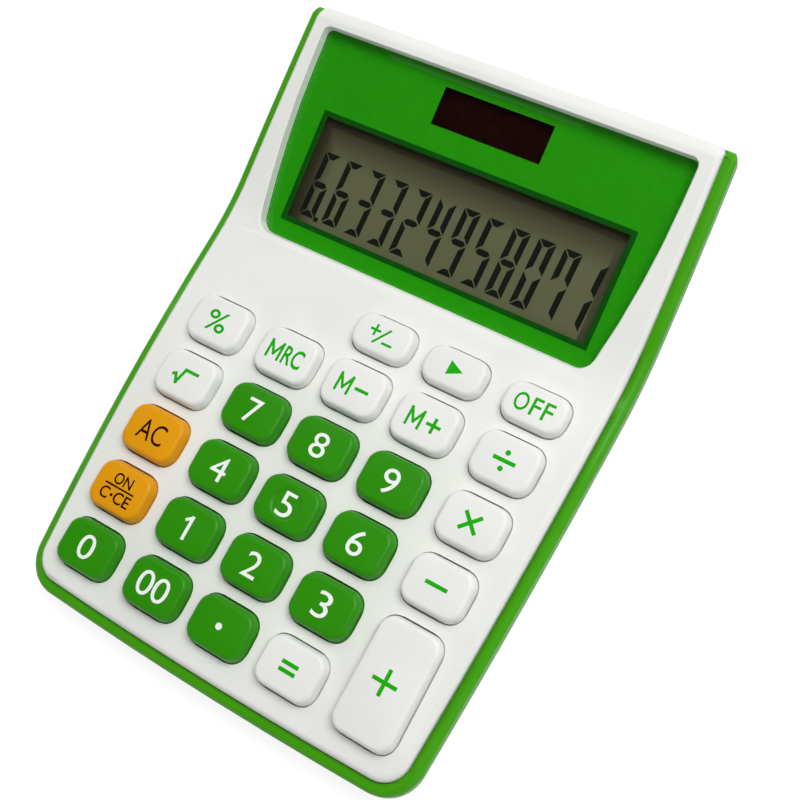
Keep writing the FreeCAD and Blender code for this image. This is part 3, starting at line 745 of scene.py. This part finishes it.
def modelScrew():
    # pan head with a cross recess, looking down its well
    screw = {"head": 4.4, "headHeight": 1.5, "shank": 2.3, "length": 8.0, "cross": 0.62, "reach": 2.4,
             "deep": 0.8, "headRound": 0.5, "tip": 0.6}
    low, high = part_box("case_screws")
    radius = screw["head"] / 2 * mm
    places = {"caseScrewLeft": low.x + radius, "caseScrewRight": high.x - radius}
    y = (low.y + high.y) / 2
    head = discAt("screwHead", radius, screw["headHeight"] * mm,
                  (0, 0, low.z + screw["headHeight"] / 2 * mm), 40)
    choose(head, "EDGE", lambda e: max(v.co.z for v in e.verts) < low.z + 0.1 * mm)
    bevelChosen(screw["headRound"] * mm, 4)
    closeMesh()
    for size in ((screw["reach"], screw["cross"]), (screw["cross"], screw["reach"])):
        slotCut = blockAt("slotCut", (size[0] * mm, size[1] * mm, 2 * screw["deep"] * mm), (0, 0, low.z))
        useModifier(head, "BOOLEAN", operation="DIFFERENCE", object=slotCut, solver="EXACT")
        bpy.data.objects.remove(slotCut)
    top = low.z + screw["headHeight"] * mm
    shank = discAt("screwShank", screw["shank"] / 2 * mm, screw["length"] * mm,
                   (0, 0, top + screw["length"] / 2 * mm), 24)
    choose(shank, "EDGE", lambda e: liesAbove(e, top + screw["length"] * mm))
    bevelChosen(screw["tip"] * mm, 1)
    closeMesh()
    model = joinAll("caseScrew", [head, shank])
    smooth(model, 35)
    for name, x in places.items():
        twin = copyPiece(model, name)
        lay(twin, Matrix.Identity(3), (x, y, 0))
        seat(twin, "case", looks["screwSteel"], "case_screws")
    bpy.data.objects.remove(model)


modelScrew()
print("fixings done")

keyShape = {"corner": 3.3, "cornerSteps": 9, "flange": 0.7, "flangeDepth": 0.8, "draft": 0.45,
            "edge": 0.8, "edgeSteps": 6, "rise": 2.6, "skirt": 5.05, "stem": 4.4,
            "dishRadius": 4.05, "dishFloor": 3.1, "dishDepth": 0.3}


def modelKey(name, width, depth, reach):
    # cap with drafted sides and a soft top edge, then its hidden flange and stem; top face at z 0
    skirt = keyShape["skirt"] * mm
    obj = blockAt(name, (width, depth, skirt), (0, 0, -skirt / 2))
    choose(obj, "EDGE", isUpright)
    bevelChosen(keyShape["corner"] * mm, keyShape["cornerSteps"])
    bpy.ops.mesh.select_all(action="SELECT")
    bpy.ops.mesh.bisect(plane_co=(0, 0, -keyShape["rise"] * mm), plane_no=(0, 0, 1))
    closeMesh()
    draft = 2 * keyShape["draft"] * mm
    choose(obj, "FACE", facesUp)
    bpy.ops.transform.resize(value=((width - draft) / width, (depth - draft) / depth, 1))
    closeMesh()
    choose(obj, "EDGE", lambda e: liesAbove(e, 0))
    bevelChosen(keyShape["edge"] * mm, keyShape["edgeSteps"])
    closeMesh()
    choose(obj, "FACE", facesDown)
    flange = 2 * keyShape["flange"] * mm
    extrudeChosen()
    bpy.ops.transform.resize(value=((width + flange) / width, (depth + flange) / depth, 1))
    extrudeChosen(-keyShape["flangeDepth"] * mm)
    extrudeChosen()
    stem = keyShape["stem"] * mm
    bpy.ops.transform.resize(value=(stem / (width + flange), stem / (depth + flange), 1))
    extrudeChosen(skirt + keyShape["flangeDepth"] * mm - reach)
    closeMesh()
    smooth(obj, 30)
    return obj


def dishTop(obj):
    # shallow locating dish with a sloped edge
    deep = keyShape["dishDepth"] * mm
    tool = discAt("dishTool", keyShape["dishRadius"] * mm, 2 * deep, sides=96)
    choose(tool, "FACE", facesDown)
    share = keyShape["dishFloor"] / keyShape["dishRadius"]
    bpy.ops.transform.resize(value=(share, share, 1))
    closeMesh()
    useModifier(obj, "BOOLEAN", operation="DIFFERENCE", object=tool, solver="EXACT")
    bpy.data.objects.remove(tool)
    smooth(obj, 20)


greenKeys = ["0", "00", "point", "1", "2", "3", "4", "5", "6", "7", "8", "9"]
orangeKeys = ["on_clear", "all_clear"]
capLooks = {"green": ("keyGreen", "green_key"), "orange": ("keyOrange", "orange_key"),
            "white": ("keyWhite", "white_key")}
legendLooks = {"green": ("legendWhite", "white_key"), "orange": ("legendBrown", "resin"),
               "white": ("legendGreen", "green_key")}


def family(node):  # colour group of a key
    mark = node[4:]
    return "green" if mark in greenKeys else "orange" if mark in orangeKeys else "white"


def pieceName(kind, node):  # key_on_clear gives capOnClear, domeOnClear and legendOnClear
    return kind + "".join(word.capitalize() for word in node.split("_")[1:])


keyBoxes = {n: localBox(n, keyTurn) for n in nodes if n.startswith("key_")}
keyReach = min(high.z - low.z for low, high in keyBoxes.values())
keyModels = {}
keyTops = {}
for node, (low, high) in keyBoxes.items():
    flange = 2 * keyShape["flange"] * mm
    width = high.x - low.x - flange
    depth = high.y - low.y - flange
    size = (round(width / mm, 1), round(depth / mm, 1))
    if size not in keyModels:
        keyModels[size] = modelKey("keyModel", width, depth, keyReach)
    keyTops[node] = ((low.x + high.x) / 2, (low.y + high.y) / 2, high.z)
    cap = copyPiece(keyModels[size], pieceName("cap", node))
    if node == "key_5":
        dishTop(cap)
    lay(cap, keyTurn, keyTops[node])
    look, slot = capLooks[family(node)]
    seat(cap, node, looks[look], node)
for model in keyModels.values():
    bpy.data.objects.remove(model)
print("keys done:", len(keyTops))


def modelSheet():
    # flat rubber sheet with a dome under each key
    sheet = {"thick": 0.7, "base": 9.0, "top": 6.4, "rise": 2.2, "edge": 0.4, "flat": 0.33}
    face = localBox("rubber_sheet", keyTurn)[0].z + sheet["thick"] * mm
    back = keyTurn.inverted()
    flat = nodeCopy("rubber_sheet", "rubberSheet")
    choose(flat, "VERT", lambda v: (back @ v.co).z > face + 0.1 * mm)
    bpy.ops.mesh.delete(type="VERT")
    bpy.ops.mesh.select_all(action="SELECT")
    bpy.ops.mesh.fill_holes(sides=16)
    closeMesh()
    seat(flat, "case", looks["sheetSilicone"], "rubber_sheet")
    rise = sheet["rise"] * mm
    model = discAt("domeModel", sheet["base"] / 2 * mm, rise, (0, 0, rise / 2), 32)
    choose(model, "FACE", facesUp)
    share = sheet["top"] / sheet["base"]
    bpy.ops.transform.resize(value=(share, share, 1))
    closeMesh()
    choose(model, "EDGE", lambda e: liesAbove(e, rise))
    bevelChosen(sheet["edge"] * mm, 3)
    closeMesh()
    smooth(model, 30)
    for joint in frame["joints"]:
        key = joint["child"]
        x, y = keyTops[key][:2]
        dome = copyPiece(model, pieceName("dome", key))
        lay(dome, keyTurn, (x, y, face))
        seat(dome, "case", looks["sheetSilicone"], "rubber_sheet")
        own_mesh(dome)
    bpy.data.objects.remove(model)


modelSheet()
print("rubber sheet done")

inkDepth = 0.04
inkLift = 0.2  # share of its depth that raises a legend's middle over the key


def letters(word, height, width, x=0.0, y=0.0, weight=0.0):
    bpy.ops.object.select_all(action="DESELECT")
    bpy.ops.object.text_add()
    obj = bpy.context.object
    obj.data.body = word
    obj.data.extrude = 0.01
    obj.data.offset = weight
    obj.data.resolution_u = 5
    bpy.ops.object.convert(target="MESH")
    obj = bpy.context.object
    points = [v.co for v in obj.data.vertices]
    low = [min(p[i] for p in points) for i in range(3)]
    high = [max(p[i] for p in points) for i in range(3)]
    centre = [(a + b) / 2 for a, b in zip(low, high)]
    scale = [side * mm / (b - a) for side, a, b in zip((width, height, inkDepth), low, high)]
    openMesh(obj)
    bpy.ops.transform.translate(value=[-c for c in centre])
    bpy.ops.transform.resize(value=scale, center_override=(0, 0, 0))
    bpy.ops.transform.translate(value=(x * mm, y * mm, 0))
    bpy.ops.mesh.remove_doubles(threshold=0.002 * mm)
    closeMesh()
    return obj


def stroke(x0, y0, x1, y1, wide):
    length = math.hypot(x1 - x0, y1 - y0) + wide
    obj = blockAt("stroke", (length * mm, wide * mm, inkDepth * mm))
    choose(obj, "EDGE", isUpright)
    bevelChosen(0.12 * wide * mm, 2)
    closeMesh()
    turn = Matrix.Rotation(math.atan2(y1 - y0, x1 - x0), 4, "Z")
    obj.matrix_world = Matrix.Translation(((x0 + x1) / 2 * mm, (y0 + y1) / 2 * mm, 0)) @ turn
    pickOnly(obj)
    bakePlace()
    return obj


def dot(x, y, wide):
    return discAt("dot", wide / 2 * mm, inkDepth * mm, (x * mm, y * mm, 0), 32)


def wedge(x, y, size):
    obj = discAt("wedge", size * mm, inkDepth * mm, (0, 0, 0), 3)
    openMesh(obj)
    bpy.ops.transform.rotate(value=math.radians(90), orient_axis="Z", center_override=(0, 0, 0))
    bpy.ops.transform.resize(value=(1.0, 0.82, 1), center_override=(0, 0, 0))
    bpy.ops.transform.translate(value=(x * mm, y * mm, 0))
    closeMesh()
    return obj


def fuse(*objs):
    # crossing strokes become one shape
    for other in objs[1:]:
        useModifier(objs[0], "BOOLEAN", operation="UNION", object=other, solver="EXACT")
        bpy.data.objects.remove(other)
    return [objs[0]]


def trail(points, wide):
    return fuse(*[stroke(*a, *b, wide) for a, b in zip(points, points[1:])])


def letterM(x, wide=0.6, half=1.85):
    points = [(-1.45, -half), (-1.45, half), (0, -0.5 * half), (1.45, half), (1.45, -half)]
    return trail([(x + a, b) for a, b in points], wide)


digitHeight = 5.45
digitWidths = {"0": 4.0, "2": 3.6, "3": 3.5, "4": 4.0, "5": 3.6, "6": 3.7, "7": 3.6, "8": 3.75, "9": 3.7}
thin = 0.72
bold = 0.85
legends = {
    "key_" + d: lambda d=d: [letters(d, digitHeight, digitWidths[d])] for d in digitWidths}
legends.update({
    "key_1": lambda: fuse(stroke(0.45, -2.35, 0.45, 2.35, 0.78), stroke(-0.75, 1.5, 0.42, 2.3, 0.66)),
    "key_00": lambda: [letters("0", digitHeight, 3.8, x) for x in (-2.05, 2.05)],
    "key_point": lambda: [dot(0, 0, 1.5)],
    "key_equals": lambda: [stroke(-1.55, y, 1.55, y, bold) for y in (-0.8, 0.8)],
    "key_plus": lambda: fuse(stroke(-2.4, 0, 2.4, 0, bold), stroke(0, -2.4, 0, 2.4, bold)),
    "key_minus": lambda: [stroke(-2.1, 0, 2.1, 0, bold)],
    "key_multiply": lambda: fuse(stroke(-1.6, -1.6, 1.6, 1.6, bold), stroke(-1.6, 1.6, 1.6, -1.6, bold)),
    "key_divide": lambda: [stroke(-2.1, 0, 2.1, 0, bold), dot(0, 1.75, 1.15), dot(0, -1.75, 1.15)],
    "key_percent": lambda: [letters("%", 4.9, 5.2, weight=0.008)],
    "key_root": lambda: trail([(-2.8, -0.45), (-2.25, -0.2), (-1.35, -2.0), (-0.35, 1.35), (2.8, 1.35)], thin),
    "key_sign": lambda: (fuse(stroke(-2.9, 0.75, -0.9, 0.75, 0.55), stroke(-1.9, -0.3, -1.9, 1.8, 0.55))
                         + [stroke(-1.3, -1.9, 1.3, 1.7, 0.5), stroke(0.9, -1.4, 2.9, -1.4, 0.55)]),
    "key_backspace": lambda: [wedge(0, 0, 2.3)],
    "key_off": lambda: [letters(w, 3.9, wide, x, weight=0.008)
                        for w, wide, x in (("O", 3.1, -2.8), ("F", 2.1, 0.55), ("F", 2.1, 3.25))],
    "key_memory_recall": lambda: letterM(-2.7) + [letters("RC", 4.3, 4.9, 2.05, weight=0.018)],
    "key_memory_minus": lambda: letterM(-2.1) + [stroke(0.95, 0, 3.6, 0, thin)],
    "key_memory_plus": lambda: (letterM(-2.1) + fuse(stroke(1.0, 0, 3.7, 0, thin),
                                                     stroke(2.35, -1.35, 2.35, 1.35, thin))),
    "key_all_clear": lambda: [letters("AC", 4.7, 6.9)],
    "key_on_clear": lambda: [letters("ON", 2.6, 4.8, 0, 1.95, 0.012), stroke(-3.75, 0.1, 3.75, 0.1, 0.4),
                             letters("C", 2.7, 2.2, -2.9, -1.9, 0.012), dot(-1.05, -1.9, 0.7),
                             letters("CE", 2.7, 4.3, 1.85, -1.9, 0.012)],
})
for node, draw in legends.items():
    obj = joinAll(pieceName("legend", node), draw())
    x, y, z = keyTops[node]
    if node == "key_5":
        z -= keyShape["dishDepth"] * mm
    lay(obj, keyTurn, (x, y, z + inkDepth * mm * inkLift))
    look, slot = legendLooks[family(node)]
    seat(obj, node, looks[look])
print("legends done:", len(legends))

# floor, light and camera
stageSet = {"size": 6.0, "floor": 0.85, "matte": 0.9, "glow": 0.84, "wash": 0.27, "ambient": 0.34,
            "ceiling": 0.04, "wallTop": (0.25, 0.65)}
lamps = {"keyLamp": {"place": (0.29, 0.24, 0.72), "size": 0.5, "power": 4.85},
         "edgeLamp": {"place": (-0.36, 0.37, 0.78), "size": 0.4, "power": 0.8}}
lampTarget = Vector((0, 0, 0.015))


def cameraMask(tree):
    path = tree.nodes.new("ShaderNodeLightPath")
    total = path.outputs["Is Camera Ray"]
    for label in ("Is Glossy Ray", "Is Transmission Ray"):
        add = addNode(tree, "ShaderNodeMath", operation="MAXIMUM")
        tree.links.new(total, add.inputs[0])
        tree.links.new(path.outputs[label], add.inputs[1])
        total = add.outputs[0]
    return total


def makeFloor():
    bpy.ops.object.select_all(action="DESELECT")
    bpy.ops.mesh.primitive_plane_add(size=stageSet["size"], location=(0, 0, 0))
    floor = bpy.context.object
    floor.name = "studioFloor"
    material, tree, shader = newMaterial("paleFloor")
    shader.inputs["Base Color"].default_value = (stageSet["floor"],) * 3 + (1,)
    shader.inputs["Roughness"].default_value = stageSet["matte"]
    seen = addNode(tree, "ShaderNodeBsdfDiffuse", Color=(stageSet["wash"],) * 3 + (1,))
    glow = addNode(tree, "ShaderNodeEmission", Color=(1, 1, 1, 1), Strength=stageSet["glow"])
    both = tree.nodes.new("ShaderNodeAddShader")
    tree.links.new(seen.outputs[0], both.inputs[0])
    tree.links.new(glow.outputs[0], both.inputs[1])
    mix = tree.nodes.new("ShaderNodeMixShader")
    tree.links.new(cameraMask(tree), mix.inputs[0])
    tree.links.new(shader.outputs[0], mix.inputs[1])
    tree.links.new(both.outputs[0], mix.inputs[2])
    tree.links.new(mix.outputs[0], tree.nodes["Material Output"].inputs["Surface"])
    floor.data.materials.append(material)


def makeWorld():
    world = bpy.data.worlds.new("studioWorld")
    bpy.context.scene.world = world
    world.use_nodes = True
    tree = world.node_tree
    back = tree.nodes["Background"]
    back.inputs["Color"].default_value = (1, 1, 1, 1)
    split = tree.nodes.new("ShaderNodeSeparateXYZ")
    tree.links.new(tree.nodes.new("ShaderNodeTexCoord").outputs["Generated"], split.inputs[0])
    # white walls, dim ceiling
    walls = spread(tree, split.outputs["Z"], *stageSet["wallTop"], 1.0, stageSet["ceiling"])
    level = spread(tree, cameraMask(tree), 0.0, 1.0, stageSet["ambient"], walls)
    tree.links.new(level, back.inputs["Strength"])


def areaLamp(name, place, size, power):
    lamp = bpy.data.lights.new(name, "AREA")
    lamp.energy = power
    lamp.size = size
    obj = bpy.data.objects.new(name, lamp)
    bpy.context.scene.collection.objects.link(obj)
    obj.location = place
    obj.rotation_euler = (lampTarget - Vector(place)).to_track_quat("-Z", "Y").to_euler()


def makeCamera():
    shot = {"place": (113.6, -55.17, 260.73), "right": (0.83168, 0.50011, -0.24124),
            "down": (0.40119, -0.8416, -0.36161), "ahead": (-0.38387, 0.20396, -0.90058), "lens": 58.5}
    data = bpy.data.cameras.new("photoCamera")
    data.lens = shot["lens"]
    data.sensor_width = 36.0
    data.clip_start = 0.01
    obj = bpy.data.objects.new("photoCamera", data)
    bpy.context.scene.collection.objects.link(obj)
    right, down, ahead = (Vector(shot[k]) for k in ("right", "down", "ahead"))
    turn = Matrix((right, -down, -ahead)).transposed()
    obj.matrix_world = Matrix.Translation(Vector(shot["place"]) * mm) @ turn.to_4x4()
    bpy.context.scene.camera = obj


makeFloor()
makeWorld()
for name, lamp in lamps.items():
    areaLamp(name, **lamp)
makeCamera()
bpy.context.scene.view_settings.view_transform = "Standard"
print("stage done")
